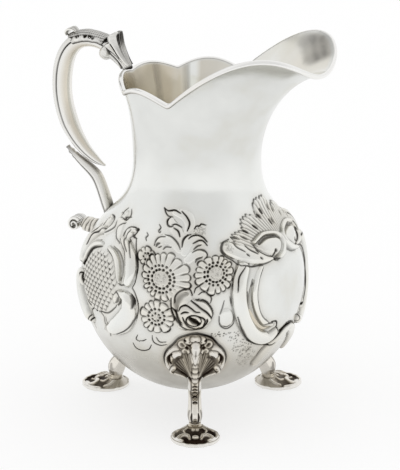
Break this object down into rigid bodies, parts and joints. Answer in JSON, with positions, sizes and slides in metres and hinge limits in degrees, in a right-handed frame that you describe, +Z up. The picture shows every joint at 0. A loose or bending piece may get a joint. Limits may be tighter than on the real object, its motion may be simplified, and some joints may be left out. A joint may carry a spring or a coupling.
{
  "type": "milk jug",
  "caption": "Silver milk jug with a pear-shaped chased body, wavy rim, broad pouring lip, double-scroll leaf handle and shell-kneed legs.",
  "frame": {"origin": "on the table, under the middle of the jug's length and width", "axes": "+X towards the pouring lip, -X towards the handle, +Z up, the jug symmetric about y = 0"},
  "size_m": [0.1294, 0.0988, 0.1642],
  "materials": {
    "body_silver": "polished silver, darkened in the chasing",
    "rim_silver": "polished silver",
    "handle_silver": "polished cast silver, darkened in the grooves",
    "leg_silver": "cast silver, darkened in the hollows"
  },
  "bodies": {
    "root": {"body": "body_silver", "rim_wire": "rim_silver", "handle_stem": "handle_silver", "handle_thumb_leaf": "handle_silver", "handle_curl_leaf": "handle_silver", "handle_upper_scroll": "handle_silver", "handle_leaf_cap": "handle_silver", "handle_lower_scroll": "handle_silver", "handle_tail": "handle_silver", "knee_left": "leg_silver", "knee_right": "leg_silver", "knee_back": "leg_silver", "leg_left": "leg_silver", "leg_right": "leg_silver", "leg_back": "leg_silver", "foot_left": "leg_silver", "foot_right": "leg_silver", "foot_back": "leg_silver"}
  },
  "joints": []
}
